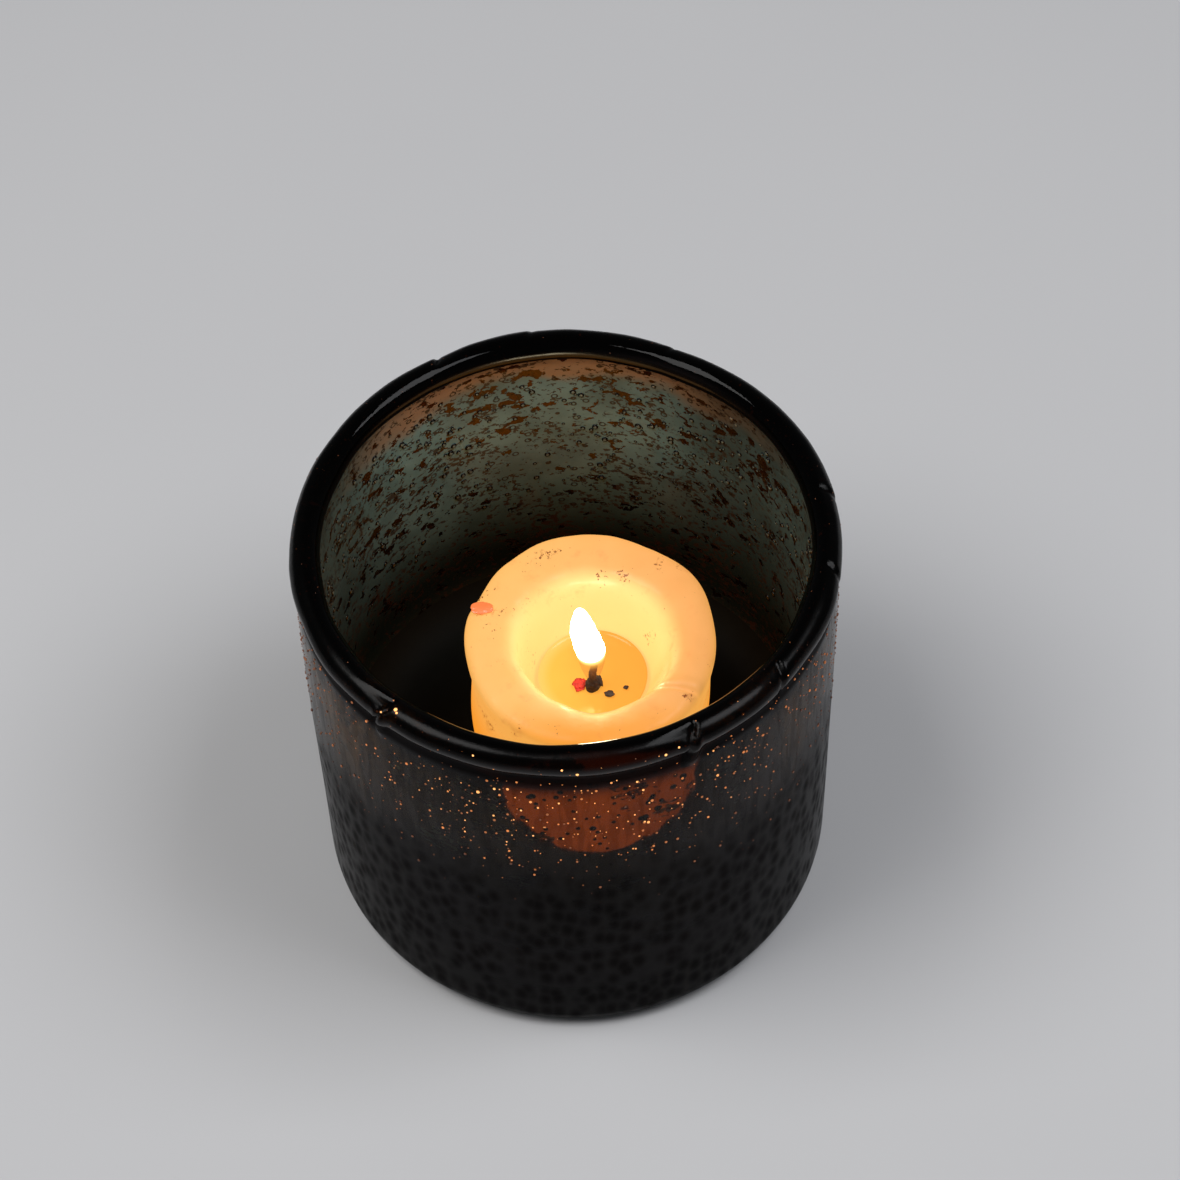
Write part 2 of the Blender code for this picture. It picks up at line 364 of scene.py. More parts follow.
def glassFinish():
    f = Finish("smokeGlass")
    where = f.place()
    x, _, z = f.axes(where)
    rim = f.step(z, 86.4 * mm, 88.2 * mm)
    neck = f.step(z, 80.5 * mm, 84.5 * mm)
    radius = f.reach(f.stretched(where, (1, 1, 0)), (0, 0, 0))
    outer = f.step(radius, 46.2 * mm, 47.8 * mm)
    cloud = f.step(f.noise(where, 130, 4, 0.6), 0.35, 0.7)
    wall = f.mix(cloud * 0.35, wallTint(f, z), (0.02, 0.010, 0.004))
    # painted shade: the wall's tint is darker to the right
    wall = f.mix(f.step(x, 2 * mm, 20 * mm) * 0.55, wall, (0.03, 0.015, 0.005))
    tint = f.mix(neck, wall, (0.0012, 0.0003, 0.0001))
    ripple = f.noise(f.stretched(where, (1, 1, 0.16)), 620, 3, 0.5, 0.6)
    wobble = f.noise(f.stretched(where, (1, 1, 0.5)), 190, 2, 0.4)
    sag = f.noise(where, 70, 2, 0.4)
    normal = f.bump(ripple * 0.25 + wobble * 0.4 + sag, 0.4, 0.25 * mm)
    streak = f.noise(f.stretched(where, (1, 1, 0.5), (3, 1, 0)), 60, 4, 0.65)
    smear = f.step(streak, 0.4, 0.75, 0.04, 0.12) * outer + rim * outer * 0.17 + 0.02
    inner = f.step(radius, 46.6 * mm, 45.4 * mm) * f.step(z, 90.3 * mm, 88.9 * mm)
    glass = f.surface({"Base Color": tint, "Roughness": smear, "IOR": 1.18, "Transmission Weight": 1.0,
                       "Normal": normal, "Coat Weight": inner, "Coat Roughness": 0.05, "Coat IOR": 1.5})
    # painted shade: a dull near-black body mixed into the glass darkens the wall and mutes its reflections,
    # in upright fibres above, soft oval dimples below and a dark collar under the bead
    fibre = f.step(ripple, 0.42, 0.62, 0.12, 0.34)
    dimple = f.cells(f.stretched(where, (1, 1, 0.6), (0.2, 0, 0.1)), 380, jitter=0.7)
    oval = f.step(dimple + wobble * 0.25, 0.20, 0.95, 0.84, 0.52)
    low = f.step(z, 66 * mm, 46 * mm)
    collar = f.step(z, 83.5 * mm, 86 * mm) * f.step(z, 91.4 * mm, 90.2 * mm) * 0.85
    paintedShade = (fibre * (1 - low) + oval * low) * (1 - rim)
    body = f.surface({"Base Color": (0.004, 0.003, 0.003), "Roughness": 0.9, "Specular IOR Level": 0.0,
                      "Coat Weight": collar * f.step(z, 88.2 * mm, 89.6 * mm), "Coat Roughness": 0.18,
                      "Coat IOR": 1.3})
    return f.done(f.blend(paintedShade.calc("MAXIMUM", collar), glass, body))


def filmFinish():
    f = Finish("filmedGlass")
    where = f.place()
    x, y, z = f.axes(where)
    # torn holes in the grey film, longer round the wall than up it
    lying = f.stretched(where, (1, 1, 1.4))
    torn = f.noise(lying, 285, 4, 0.58, 0.2)
    shy = f.noise(lying, 60, 2, 0.5)
    high = f.step(z, 40 * mm, 80 * mm)
    hole = f.step(torn + shy * 0.30 + high * 0.02, 0.745, 0.765)
    # pinholes and fine specks, in drifts
    grain = f.noise(f.stretched(where, (1, 1, 1.5)), 800, 3, 0.6)
    crowd = f.noise(lying, 95, 3, 0.5)
    speck = f.step(grain + crowd * 0.40, 0.765, 0.79)
    # small crushed bubbles leave rings
    cellPlace = f.stretched(where, (1, 1, 1.15), (4, 2, 1))
    ringAt = f.cells(cellPlace, 360)
    ringWhich = f.axes(f.cells(cellPlace, 360, out=1))[0]
    ring = f.step(ringAt, 0.13, 0.17) * f.step(ringAt, 0.24, 0.28, 1.0, 0.0) * f.step(ringWhich, 0.42, 0.44)
    mottle = f.step(f.noise(where, 75, 4, 0.6), 0.3, 0.7)
    teal = f.mix(mottle, (0.090, 0.190, 0.195), (0.175, 0.335, 0.340))
    patchy = f.step(f.noise(where, 62, 3, 0.5), 0.56, 0.70) * f.step(x * x, 0.0009, 0.0002)
    teal = f.mix(patchy * 0.5, teal, (0.22, 0.20, 0.15))
    # painted light: a warm band of the flame's light high on the back wall
    warmth = f.step(z + f.noise(where, 60, 3, 0.5) * 0.014, 86.5 * mm, 91 * mm) * f.step(y, 14 * mm, 38 * mm)
    film = f.mix(warmth * 0.85, teal, (0.46, 0.26, 0.145))
    # painted shade: darker down the wall and round the sides, more on the right, away from the light
    aside = (x + 8 * mm) * (x + 8 * mm)
    lit = f.step(z, 30 * mm, 72 * mm) * f.step(aside, 0.0015, 0.0002, 0.24, 1.0)
    film = f.mix(lit, (0.0030, 0.0060, 0.0045), film)
    # in the holes, amber paints the light coming through the glass, and painted shade darkens it down the
    # wall
    amber = f.mix(mottle, (0.024, 0.0030, 0.0004), (0.070, 0.0120, 0.0012))
    dark = f.mix(high * lit, (0.002, 0.0006, 0.0003), amber)
    colour = f.mix(hole, film, dark)
    colour = f.mix(speck * 0.88, colour, (0.020, 0.007, 0.003))
    colour = f.mix(ring * 0.9, colour, (0.008, 0.005, 0.004))
    raised = f.bump((1 - hole) * 0.7 + (1 - speck) * 0.25 + ring * 0.4 + torn * 0.5, 0.6, 0.22 * mm)
    rough = hole * -0.25 + f.noise(where, 500, 3, 0.5) * 0.2 + 0.34
    filmSkin = f.surface({"Base Color": colour, "Roughness": rough, "Normal": raised, "IOR": 1.3,
                          "Coat Weight": lit * 0.35, "Coat Roughness": 0.15, "Coat IOR": 1.3,
                          "Specular IOR Level": 0.3})
    clear = f.surface({"Base Color": wallTint(f, z), "Roughness": 0.03, "IOR": 1.2,
                       "Transmission Weight": 1.0})
    # thick at the back and thin at the front, but for its specks
    cover = f.step(y, -14 * mm, 10 * mm, 0.22, 0.90)
    flecks = f.step(crowd + torn * 0.5, 0.84, 0.88) * 0.92
    cover = cover.calc("MAXIMUM", flecks)
    return f.done(f.blend(cover, clear, filmSkin))


def buildCup():
    bm = turned(cupOutline(), cup["steps"])
    for face in bm.faces:
        mid = face.calc_center_median()
        inside = math.hypot(mid.x, mid.y) < cup["wallIn"] + 0.6 * mm
        if inside and cup["floor"] - mm < mid.z < cup["filmTop"]:
            face.material_index = 1 if mid.z > cup["deepTop"] else 2
    for v in bm.verts:
        shapeCup(v)
    # painted shade: the deep inside of the cup is near black
    deepShade = Finish("paintedDeepShade")
    shadeGrain = deepShade.noise(deepShade.place(), 300, 4, 0.6)
    deepShadeSurface = deepShade.surface({"Base Color": deepShade.mix(shadeGrain, (0.0008, 0.0012, 0.0008), (0.003, 0.004, 0.0025)),
                       "Roughness": 0.7, "Specular IOR Level": 0.1})
    materials = [glassFinish(), filmFinish(), deepShade.done(deepShadeSurface)]
    return makePiece("cupGlass", bm, materials, "cup", ["glass_cup"])


seeds = {
    "wall": 1750,
    "wallLow": 44 * mm,
    "wallHigh": 86.6 * mm,
    "size": (0.09 * mm, 0.30 * mm),
    "rim": 420,
    # painted glints of the flame's light, brighter in the front left fold and along the front: degrees
    # round, degrees up, size
    "glints": [(231.0, 74, 0.42), (231.6, 66, 0.30), (227.6, 40, 0.30), (227.0, 32, 0.24), (268, 20, 0.26),
               (271, -4, 0.34), (289, 14, 0.30), (292, 30, 0.24), (250, 34, 0.24), (307, 26, 0.26)],
    "domes": 900,
    "domeSize": (0.34 * mm, 0.74 * mm),
    "batch": 40,
}


def sparkFinish():
    f = Finish("litSeeds")
    # painted glints: the seeds glow as if catching the candle's light
    level = f.node("ShaderNodeAttribute", {"attribute_name": "glow"}, out=2)
    tone = f.ramp(level, [(0.0, (0.03, 0.008, 0.003)), (0.5, (0.42, 0.13, 0.030)), (1.0, (1.0, 0.46, 0.14))])
    seed = f.surface({"Base Color": (0.05, 0.03, 0.02), "Roughness": 0.12, "Emission Color": tone,
                      "Emission Strength": 1.9})
    return f.done(seed)


def domeFinish():
    f = Finish("filmSeeds")
    where = f.place()
    z = f.axes(where)[2]
    # painted shade and light: each dome's rim is painted dark, the domes darken down the wall, and they turn
    # warm near the top with painted flame light
    edge = f.node("ShaderNodeAttribute", {"attribute_name": "glow"}, out=2)
    mottle = f.noise(where, 300, 3, 0.5)
    teal = f.mix(mottle, (0.08, 0.12, 0.11), (0.17, 0.22, 0.19))
    warm = f.mix(f.step(z, 80 * mm, 88 * mm), teal, (0.30, 0.18, 0.10))
    body = f.mix(f.step(z, 38 * mm, 74 * mm), (0.003, 0.005, 0.004), warm)
    tone = f.mix(f.step(edge, 0.40, 0.64), body, (0.005, 0.003, 0.002))
    dome = f.surface({"Base Color": tone, "Roughness": 0.16, "IOR": 1.35})
    return f.done(dome)


def seedCloud(name, seedList, material, segments, rings):
    # each seed is (place, size, flatness, outward direction, glow); no glow means the way from its middle
    # made a batch at a time, because one large bmesh slows every operator down
    whole = bmesh.new()
    batchMesh = bpy.data.meshes.new(name + "Batch")
    for start in range(0, len(seedList), seeds["batch"]):
        bm = bmesh.new()
        layer = bm.verts.layers.float.new("glow")
        for place, size, flat, out, glow in seedList[start:start + seeds["batch"]]:
            made = bmesh.ops.create_uvsphere(bm, u_segments=segments, v_segments=rings, radius=size)["verts"]
            for v in made:
                v[layer] = math.hypot(v.co.x, v.co.y) / size if glow is None else glow
            turn = out.to_track_quat("Z", "Y").to_matrix().to_4x4()
            squeeze = Matrix.Diagonal((1, 1, flat, 1))
            bmesh.ops.transform(bm, matrix=Matrix.Translation(place) @ turn @ squeeze, verts=made)
        bm.to_mesh(batchMesh)
        bm.free()
        whole.from_mesh(batchMesh)
    bpy.data.meshes.remove(batchMesh)
    makePiece(name, whole, [material], "cup")


def buildSeeds():
    rng = random.Random(11)
    up = Vector((0, 0, 1))
    sparks = []
    for i in range(seeds["wall"]):
        angle = rng.uniform(-math.pi, math.pi)
        high = 1 - rng.random() ** 0.75
        z = seeds["wallLow"] + (seeds["wallHigh"] - seeds["wallLow"]) * (1 - high * rng.random() ** 0.3)
        low, top = seeds["size"]
        size = low + (top - low) * rng.random() ** 2.5 * (1.35 if rng.random() < 0.04 else 1)
        # painted glints: wall seeds glow more towards the front and higher up
        facing = 0.06 + 0.94 * max(0.0, -math.sin(angle)) ** 2
        glow = rng.random() ** 1.4 * ease(z, 44 * mm, 72 * mm) * facing
        out = polar(angle)
        place = out * (wallRadius(z) + wallWave(out, z) + 0.03 * mm) + up * z
        sparks.append((place + rimMove(place), size, 0.7, out, glow))
    for i in range(seeds["rim"]):
        angle = rng.uniform(-math.pi, math.pi)
        out = polar(angle, math.radians(rng.uniform(-40, 190)))
        place = polar(angle) * cup["beadR"] + up * cup["beadZ"] + out * (cup["bead"] - 0.09 * mm)
        # painted glints: rim seeds glow more towards the front
        facing = 0.22 + 0.78 * max(0.0, -math.sin(angle)) ** 1.2
        size, glow = rng.uniform(0.07, 0.17) * mm, rng.random() ** 1.8 * facing
        sparks.append((place + rimMove(place), size, 0.6, out, glow))
    for degrees, tilt, size in seeds["glints"]:
        out = polar(math.radians(degrees), math.radians(tilt))
        place = polar(math.radians(degrees)) * cup["beadR"] + up * cup["beadZ"]
        place += out * (cup["bead"] - 0.1 * mm)
        sparks.append((place + rimMove(place), size * mm, 0.5, out, 1.0))
    seedCloud("glassSeeds", sparks, sparkFinish(), 6, 4)
    domes = []
    for i in range(seeds["domes"]):
        out = -polar(rng.uniform(-math.pi, math.pi))
        z = rng.triangular(38, 86, 74) * mm
        low, top = seeds["domeSize"]
        size = low + (top - low) * rng.random() ** 2.2
        place = -out * (cup["wallIn"] - 0.02 * mm) + up * z
        domes.append((place + rimMove(place), size, 0.45, out, None))
    seedCloud("filmSeeds", domes, domeFinish(), 12, 8)


waxLow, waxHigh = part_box("candle_body")
poolLow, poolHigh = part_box("wax_pool")
wickLow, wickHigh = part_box("wick")
candle = {
    "steps": 340,
    "pit": 2.4 * mm,
    # how far the lip and the crater's edge stray from round, mm at degrees
    "lipBulge": [(5, -0.9), (40, 0.4), (63, 0.1), (82, 0.9), (107, 1.2), (130, 0.5), (153, -0.5), (165, 0.0),
                 (193, -0.6), (240, 0.0), (300, 0.0), (345, -0.9)],
    "footBulge": [(120, 0.0), (175, 1.7), (225, 1.7), (262, 0.3), (300, 0.0)],
    "crease": {"at": -38, "width": 0.45, "depth": 0.6 * mm},
    "swell": 0.35 * mm,
    "edgeWander": [(0, -0.4), (45, -1.0), (90, -1.6), (135, -1.1), (180, -1.2), (215, -1.7), (243, -1.4),
                   (270, -0.2), (300, -0.5), (330, 0.0)],
}
candle["middle"] = Vector(((waxLow.x + waxHigh.x) / 2, (waxLow.y + waxHigh.y) / 2, 0))
candle["base"], candle["top"] = waxLow.z, waxHigh.z
candle["pool"] = poolHigh.z
wickFoot = Vector((wickLow.x + 1.0 * mm, wickLow.y + 1.0 * mm, candle["pool"]))
flameHeart = wickFoot + Vector((-0.6, 0.6, 12)) * mm


def candleOutline():
    base, top, pool = candle["base"], candle["top"], candle["pool"]
    bowl = [(0, pool - candle["pit"]), (5 * mm, pool - candle["pit"]), (9.6 * mm, pool - 2.2 * mm),
            (11.0 * mm, pool - 0.2 * mm), (12.3 * mm, pool + 2.4 * mm), (13.8 * mm, pool + 5.8 * mm),
            (15.4 * mm, top - 3.2 * mm), (16.6 * mm, top - 1.5 * mm), (18.2 * mm, top - 0.5 * mm),
            (20.4 * mm, top - 0.1 * mm), (22.6 * mm, top - 0.3 * mm), (23.9 * mm, top - 1.1 * mm),
            (24.2 * mm, top - 2.6 * mm), (23.8 * mm, top - 5.6 * mm), (23.2 * mm, top - 9.5 * mm),
            (22.6 * mm, top - 14 * mm), (22.1 * mm, top - 20 * mm), (21.7 * mm, top - 27 * mm),
            (21.4 * mm, base + 2 * mm), (20.9 * mm, base + 0.3 * mm), (19.6 * mm, base), (11 * mm, base)]
    line = smoothLine(bowl, 110)
    # the pocket for the wick's tab, round the candle's own middle
    line += [(11 * mm, base + 1.2 * mm), (0, base + 1.2 * mm)]
    line[0] = (0, line[0][1])
    return line


def shapeWax(v):
    top = candle["top"]
    at = v.co - candle["middle"]
    radius = math.hypot(at.x, at.y)
    if radius < 9 * mm or v.co.z < candle["base"] + 1.5 * mm:
        return
    angle = math.atan2(at.y, at.x)
    out = Vector((math.cos(angle), math.sin(angle), 0))
    height = ease(v.co.z, 42 * mm, 58 * mm)
    # the slumped lip is fuller at the back, and the crater's edge wanders
    outer = ease(radius, 18 * mm, 22 * mm)
    v.co += out * around(angle, candle["lipBulge"]) * mm * height * outer
    inner = ease(v.co.z, candle["pool"] + 1 * mm, top - 2 * mm) * (1 - ease(radius, 17.5 * mm, 21 * mm))
    v.co += out * around(angle, candle["edgeWander"]) * mm * inner
    # the foot is fuller at the front left
    fuller = ease(v.co.z, candle["base"] + 3 * mm, 36 * mm) * (1 - ease(v.co.z, 36 * mm, 55 * mm))
    v.co += out * fuller * around(angle, candle["footBulge"]) * mm
    # low swells and pits in the soft top
    swell = noise.noise(Vector((at.x, at.y, v.co.z)) * 130)
    fine = noise.noise(Vector((at.x, at.y, v.co.z)) * 420)
    ringTop = ease(v.co.z, 55 * mm, 60 * mm)
    v.co.z += ringTop * (candle["swell"] * swell + (0.07 * fine - 0.25) * mm)
    side = ease(radius, 19 * mm, 20 * mm) * (1 - ringTop)
    v.co += out * side * 0.25 * mm * noise.noise(Vector((out.x * 3, out.y * 3, v.co.z * 60)))
    # a crease from the crater's edge out to the lip, front right
    crease = candle["crease"]
    across = turnGap(angle, math.radians(crease["at"])) * radius / mm - 0.35 * (radius / mm - 20)
    ridge = math.exp(-(across / crease["width"]) ** 2) - 0.8 * math.exp(-((across - 1.6) / 1.2) ** 2)
    v.co.z -= ringTop * crease["depth"] * ridge * ease(radius, 13 * mm, 16 * mm)


def waxFinish():
    f = Finish("glowingWax")
    where = f.place()
    x, y, z = f.axes(where)
    # painted glow of the flame's light in the wax: yellow in the crater, orange on the ring, deeper at the
    # front and down the side, and brightened on the lip's edge where the top gives way to the side
    cloudy = f.noise(where, 70, 3, 0.5)
    middle = candle["middle"]
    outward = f.reach(f.stretched(where, (1, 1, 0)), (middle.x, middle.y, 0)) + (cloudy - 0.5) * 0.004
    crater = f.mix(f.step(f.reach(where, wickFoot), 9 * mm, 20 * mm), (0.55, 0.46, 0.14), (0.58, 0.60, 0.22))
    ring = f.mix(f.step(x, -16 * mm, 24 * mm), (0.55, 0.345, 0.090), (0.48, 0.240, 0.060))
    glow = f.mix(f.step(outward, 13.5 * mm, 17.5 * mm), crater, ring)
    front = f.step(y, -14 * mm, -25 * mm) * f.step(outward, 13 * mm, 16 * mm)
    glow = f.mix(front, glow, (0.50, 0.190, 0.012))
    side = f.step(z, 62.0 * mm, 58.5 * mm) * f.step(outward, 20.5 * mm, 23 * mm)
    side = side.calc("MAXIMUM", f.step(z, 58.5 * mm, 56.5 * mm) * f.step(outward, 18 * mm, 20 * mm))
    below = f.mix(f.step(z, 55 * mm, 40 * mm), (0.86, 0.390, 0.075), (0.92, 0.310, 0.020))
    glow = f.mix(side, glow, below)
    # soot and char dust, in drifts on the top
    dust = f.noise(where, 1700, 2, 0.6)
    drift = f.step(f.noise(f.stretched(where, (1, 1, 1), (0.3, 0.1, 0)), 110, 3, 0.55), 0.55, 0.72)
    thread = f.noise(where, 190, 3, 0.55, 1.2) - 0.5
    vein = f.step(thread * thread, 0.0007, 0.0, 0.0, 0.75) * f.step(drift, 0.4, 0.9)
    soot = (f.step(dust + drift * 0.20, 0.735, 0.775) + vein * dust) * f.step(z, 46 * mm, 54 * mm)
    blotch = f.step(f.noise(where, 230, 5, 0.65), 0.54, 0.74) * f.step(z, 55 * mm, 59 * mm)
    glow = f.mix(blotch * 0.34, glow, (0.34, 0.10, 0.02))
    glow = f.mix(soot * 0.85, glow, (0.16, 0.035, 0.003))
    skin = f.mix(f.noise(where, 160, 3, 0.5), (0.46, 0.17, 0.055), (0.54, 0.22, 0.075))
    # painted glow: the skin too is deeper at the front
    skin = f.mix(front, skin, (0.46, 0.155, 0.022))
    skin = f.mix(soot * 0.9, skin, (0.09, 0.020, 0.003))
    bumps = f.bump(f.noise(where, 420, 4, 0.55) + soot * 0.3, 0.30, 0.25 * mm)
    rough = f.step(f.noise(where, 240, 3, 0.5), 0.35, 0.7, 0.45, 0.65)
    wet = f.step(outward, 17.0 * mm, 15.8 * mm, 0.03, 1.0) * f.step(y, 2 * mm, -4 * mm, 0.15, 1.0)
    wax = f.surface({"Base Color": skin, "Roughness": rough, "Normal": bumps, "Emission Color": glow,
                     "Emission Strength": 1.0, "Coat Weight": wet, "Coat Roughness": 0.07,
                     "Specular IOR Level": 0.25})
    return f.done(wax)


def poolFinish():
    f = Finish("moltenWax")
    where = f.place()
    swirl = f.noise(where, 140, 2, 0.5)
    x = f.axes(where)[0]
    # painted glow: the melt lit by the flame, yellower to the left and at its left shore
    rightward = f.step(x + swirl * 0.006, -4 * mm, 12 * mm)
    glow = f.mix(rightward, (0.74, 0.44, 0.060), (0.64, 0.27, 0.030))
    middle = candle["middle"]
    shore = f.step(f.reach(f.stretched(where, (1, 1, 0)), (middle.x, middle.y, 0)), 7.6 * mm, 10.6 * mm)
    glow = f.mix(shore * f.step(x, 8 * mm, -4 * mm), glow, (0.72, 0.52, 0.130))
    melt = f.surface({"Base Color": (0.26, 0.10, 0.02), "Roughness": 0.09, "Emission Color": glow,
                      "Emission Strength": 1.0, "IOR": 1.3,
                      "Normal": f.bump(swirl, 0.05, 0.2 * mm)})
    return f.done(melt)


def buildCandle():
    bm = turned(candleOutline(), candle["steps"], candle["middle"].xy)
    for v in bm.verts:
        shapeWax(v)
    makePiece("candleWax", bm, [waxFinish()], "candle", ["candle_body"])

    # the melt stands a hair up the crater's wall
    surface, low, edge = candle["pool"], poolLow.z, poolHigh.x - candle["middle"].x
    outline = [(0, surface)] + between((0, surface), (edge - 1.3 * mm, surface), 8)
    outline += [(edge - 0.8 * mm, surface + 0.05 * mm), (edge - 0.4 * mm, surface + 0.17 * mm),
                (edge, surface + 0.40 * mm)]
    outline += [(edge - 0.1 * mm, surface - 0.4 * mm)]
    outline += [(edge - 0.6 * mm, low + 0.4 * mm), (edge - 1.2 * mm, low), (0, low)]
    bm = turned(outline, 120, candle["middle"].xy)
    makePiece("meltPool", bm, [poolFinish()], "candle", ["wax_pool"])


def charFinish(name, base, emberAndGlow):
    f = Finish(name)
    where = f.place()
    grain = f.noise(where, 1600, 4, 0.65)
    tone = f.mix(grain, tuple(0.5 * c for c in base), tuple(1.6 * c for c in base))
    # ember glow on the char; on the red chip a painted glow of the flame's light
    glowTone = f.mix(f.step(grain, 0.35, 0.7), (0.0, 0.0, 0.0), emberAndGlow)
    char = f.surface({"Base Color": tone, "Roughness": 0.8, "Emission Color": glowTone, "Emission Strength": 1.0,
                      "Normal": f.bump(grain, 0.9, 0.3 * mm)})
    return f.done(char)


def buildWick():
    wick = {"radius": 0.95 * mm, "sides": 14, "rings": 90, "taper": 0.30, "strand": 0.07, "rag": 0.22}
    f = Finish("burntWick")
    where = f.place()
    z = f.axes(where)[2]
    plait = f.node("ShaderNodeTexWave", {"wave_type": "BANDS", "bands_direction": "DIAGONAL"},
                   {"Vector": where, "Scale": 420.0, "Distortion": 2.0})
    hot = f.step(z, candle["pool"] + 2.5 * mm, candle["pool"] + 8 * mm)
    tone = f.mix(hot, (0.010, 0.003, 0.002), (0.08, 0.028, 0.008))
    tone = f.mix(plait * 0.5, tone, (0.004, 0.001, 0.001))
    emberAndGlow = f.mix(hot, (0.008, 0.001, 0.001), (0.26, 0.07, 0.010))
    fibre = f.surface({"Base Color": tone, "Roughness": 0.9, "Emission Color": emberAndGlow,
                       "Emission Strength": 0.8, "Normal": f.bump(plait, 0.7, 0.2 * mm)})
    low, top = wickLow.z, wickHigh.z
    bm = bmesh.new()
    ring = bmesh.ops.create_circle(bm, cap_ends=True, segments=wick["sides"], radius=wick["radius"])["verts"]
    bmesh.ops.translate(bm, verts=ring, vec=(0, 0, low))
    face = bm.faces[:][0]
    step = (top - low) / wick["rings"]
    for i in range(wick["rings"]):
        made = bmesh.ops.extrude_face_region(bm, geom=[face])["geom"]
        face = [g for g in made if isinstance(g, bmesh.types.BMFace)][0]
        bmesh.ops.translate(bm, verts=face.verts, vec=(0, 0, step))
    bmesh.ops.recalc_face_normals(bm, faces=bm.faces)
    for v in bm.verts:
        angle = math.atan2(v.co.y, v.co.x)
        above = max(0.0, (v.co.z - candle["pool"]) / mm)
        strand = 1 + wick["strand"] * math.sin(3 * angle + v.co.z / mm * 2.2)
        taper = 1 - wick["taper"] * ease(v.co.z, top - 2.5 * mm, top)
        rag = 1 + wick["rag"] * min(above, 1) * noise.noise(v.co * 1500)
        lump = 1 + 0.35 * ease(above, 0.0, 0.5) * (1 - ease(above, 1.6, 3.0))
        lump -= 0.25 * ease(above, 2.2, 3.4)
        v.co.x *= strand * taper * rag * lump
        v.co.y *= strand * taper * rag * lump
        v.co.x += wickFoot.x + 0.010 * mm * above ** 2
        v.co.y += wickFoot.y + 0.012 * mm * above ** 2
    makePiece("wickPlait", bm, [f.done(fibre)], "candle", ["wick"])


def buildCrumb(name, node, material, rough, seed, detail=3, grow=1.25, shift=(0, 0, 0)):
    # a ragged lump that fills the CAD chip's own box
    low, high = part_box(node)
    middle, half = (low + high) / 2 + Vector(shift), (high - low) / 2
    bm = bmesh.new()
    bmesh.ops.create_icosphere(bm, subdivisions=detail, radius=1.0)
    for v in bm.verts:
        rag = noise.noise(v.co * 1.4 + Vector((seed, 0, 0)))
        rag += 0.8 * noise.noise(v.co * 3.4 + Vector((0, seed, 0)))
        v.co *= 0.86 * (1 + rough * rag)
        v.co = middle + Vector((v.co.x * half.x, v.co.y * half.y, v.co.z * half.z)) * grow
    makePiece(name, bm, [material], "candle", [node])


def buildCrumbs():
    char = charFinish("charCrumbs", (0.010, 0.003, 0.002), (0.020, 0.002, 0.001))
    buildCrumb("wickCrumb", "wick_crumb", char, 0.45, 3, shift=(-0.8 * mm, 0, 0))
    buildCrumb("charFlakeLarge", "char_flake_large", char, 0.30, 8)
    buildCrumb("charFlakeSmall", "char_flake_small", char, 0.40, 5)
    # the red chip's emission is a painted glow
    buildCrumb("redChip", "red_chip", charFinish("redWax", (0.30, 0.006, 0.003), (0.40, 0.006, 0.003)),
               0.40, 13, grow=1.5)
    f = Finish("orangeWax")
    melt = f.noise(f.place(), 500, 3, 0.5)
    # painted glow: the dab lit by the flame
    glow = f.mix(melt, (0.48, 0.085, 0.016), (0.56, 0.13, 0.030))
    dab = f.surface({"Base Color": (0.55, 0.14, 0.045), "Roughness": 0.4, "Emission Color": glow,
                     "Emission Strength": 1.0, "Coat Weight": 0.3, "Normal": f.bump(melt, 0.3, 0.2 * mm)})
    buildCrumb("waxDab", "wax_dab", f.done(dab), 0.2, 21, 4, shift=(0.2 * mm, 0, -0.55 * mm))


def buildFlame():
    flame = {"height": 15.6 * mm, "width": 2.75 * mm, "foot": 9.6 * mm, "steps": 48, "strength": 22.0}
    # half width along the height, and how far the middle leans
    shape = [(0.0, 1.0), (0.30, 0.95), (0.50, 0.86), (0.72, 0.72), (0.88, 0.56), (0.99, 0.33), (1.0, 0.17),
             (0.95, 0.03), (0.80, -0.14), (0.58, -0.30), (0.36, -0.45), (0.0, -0.50)]
    lean = [(-0.50, 0.2), (0.0, 0.1), (0.17, -0.1), (0.33, -0.6), (0.56, -1.3), (0.72, -1.55), (1.0, -1.85)]
    f = Finish("candleFlame")
    where = f.place()
    z = f.axes(where)[2]
    foot = candle["pool"] + flame["foot"]
    rise = (z - foot) / flame["height"]
    glowTone = f.mix(f.step(rise, -0.10, 0.06), (0.004, 0.0020, 0.0012), (0.045, 0.020, 0.0030))
    glowTone = f.mix(f.step(rise, 0.05, 0.14), glowTone, (0.075, 0.050, 0.016))
    glowTone = f.mix(f.step(rise, 0.13, 0.21), glowTone, (1.0, 0.88, 0.58))
    thin = f.step(rise, -0.06, 0.14, 0.14, 1.0)
    body = f.surface({"Base Color": (0.0, 0.0, 0.0), "Roughness": 1.0, "Specular IOR Level": 0.0,
                      "Emission Color": glowTone, "Emission Strength": flame["strength"], "Alpha": thin})
    outline = [(r * flame["width"], foot + t * flame["height"]) for r, t in smoothLine(shape, 64)]
    bm = turned([(max(0, r), z) for r, z in outline], flame["steps"])
    for v in bm.verts:
        t = (v.co.z - foot) / flame["height"]
        low, high = next((a, b) for a, b in zip(lean, lean[1:]) if t <= b[0] or b is lean[-1])
        v.co.x += wickFoot.x + (low[1] + (high[1] - low[1]) * ease(t, low[0], high[0])) * mm
        v.co.y += wickFoot.y + 0.4 * mm
    piece = makePiece("candleFlame", bm, [f.done(body)], "candle")
    piece.visible_shadow = False
    piece.visible_diffuse = False


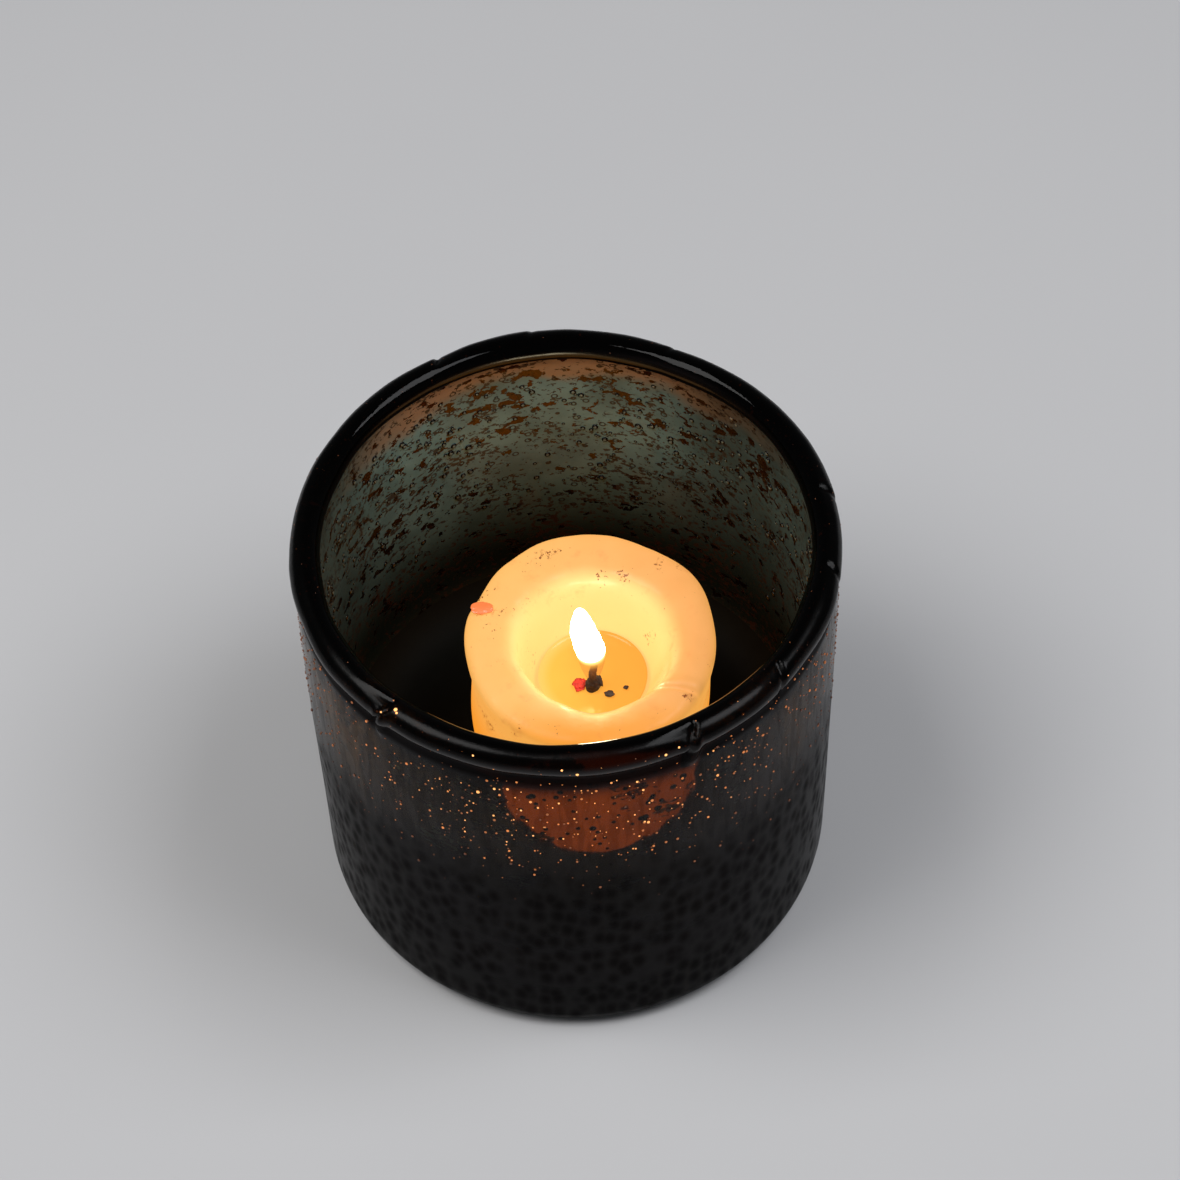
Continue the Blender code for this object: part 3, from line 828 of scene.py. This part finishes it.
def tabFinish():
    f = Finish("tinnedSteel")
    where = f.place()
    scratch = f.noise(f.stretched(where, (1, 8, 1)), 500, 4, 0.6)
    tone = f.mix(scratch, (0.52, 0.52, 0.50), (0.70, 0.70, 0.68))
    rough = f.step(scratch, 0.3, 0.7, 0.22, 0.42)
    tab = f.surface({"Base Color": tone, "Metallic": 1.0, "Roughness": rough})
    return f.done(tab)


def buildStudio():
    f = Finish("paleFloor")
    where = f.place()
    tone = f.mix(f.noise(where, 6, 3, 0.5), (0.50, 0.50, 0.51), (0.53, 0.53, 0.535))
    ground = f.surface({"Base Color": tone, "Roughness": 0.75, "Specular IOR Level": 0.2})
    bm = bmesh.new()
    bmesh.ops.create_grid(bm, x_segments=8, y_segments=8, size=2.0)
    mesh = bpy.data.meshes.new("floor")
    bm.to_mesh(mesh)
    bm.free()
    mesh.materials.append(f.done(ground))
    floor = bpy.data.objects.new("floor", mesh)
    bpy.context.scene.collection.objects.link(floor)

    world = bpy.data.worlds.new("studio")
    bpy.context.scene.world = world
    world.use_nodes = True
    world.node_tree.nodes["Background"].inputs["Color"].default_value = (0.93, 0.96, 1.0, 1.0)
    world.node_tree.nodes["Background"].inputs["Strength"].default_value = 0.13
    # name, place, size, power, colour
    softboxes = [
        ("keySoftbox", (-0.50, -0.12, 1.05), 0.60, 8.2, (1.0, 0.99, 0.98)),
        ("fillSoftbox", (0.52, -0.08, 1.05), 0.55, 6.8, (0.96, 0.97, 1.0)),
    ]
    for name, place, size, power, colour in softboxes:
        lamp = bpy.data.lights.new(name, "AREA")
        lamp.size = size
        lamp.energy = power
        lamp.color = colour
        holder = bpy.data.objects.new(name, lamp)
        holder.location = place
        aim = Vector((0, 0, 0.04)) - Vector(place)
        holder.rotation_euler = aim.to_track_quat("-Z", "Y").to_euler()
        bpy.context.scene.collection.objects.link(holder)
    glow = bpy.data.lights.new("flameLight", "POINT")
    glow.energy = 0.007
    glow.color = (1.0, 0.60, 0.24)
    glow.shadow_soft_size = 3 * mm
    holder = bpy.data.objects.new("flameLight", glow)
    holder.location = flameHeart
    holder.parent = frame["bodies"]["candle"]
    bpy.context.scene.collection.objects.link(holder)


def buildCamera():
    camera = {"elevation": 53.6, "roll": -1.92, "lens": 97.6, "back": 573.9 * mm}
    aim = Vector((4.1, -8.6, 86.8)) * mm
    lens = bpy.data.cameras.new("camera")
    lens.sensor_width = 36
    lens.lens = camera["lens"]
    lens.clip_start = 0.01
    turn = Matrix.Rotation(math.radians(90 - camera["elevation"]), 3, "X")
    turn = turn @ Matrix.Rotation(math.radians(camera["roll"]), 3, "Z")
    shot = bpy.data.objects.new("camera", lens)
    shot.location = aim + turn @ Vector((0, 0, camera["back"]))
    shot.rotation_euler = turn.to_euler()
    bpy.context.scene.collection.objects.link(shot)
    bpy.context.scene.camera = shot


print("glass")
buildCup()
buildSeeds()
print("candle")
buildCandle()
buildWick()
buildCrumbs()
buildFlame()
tab = frame["nodes"]["wick_sustainer"]
for slot in tab.material_slots:
    slot.material = tabFinish()
print("studio")
buildStudio()
buildCamera()
bpy.context.scene.view_settings.view_transform = "Standard"
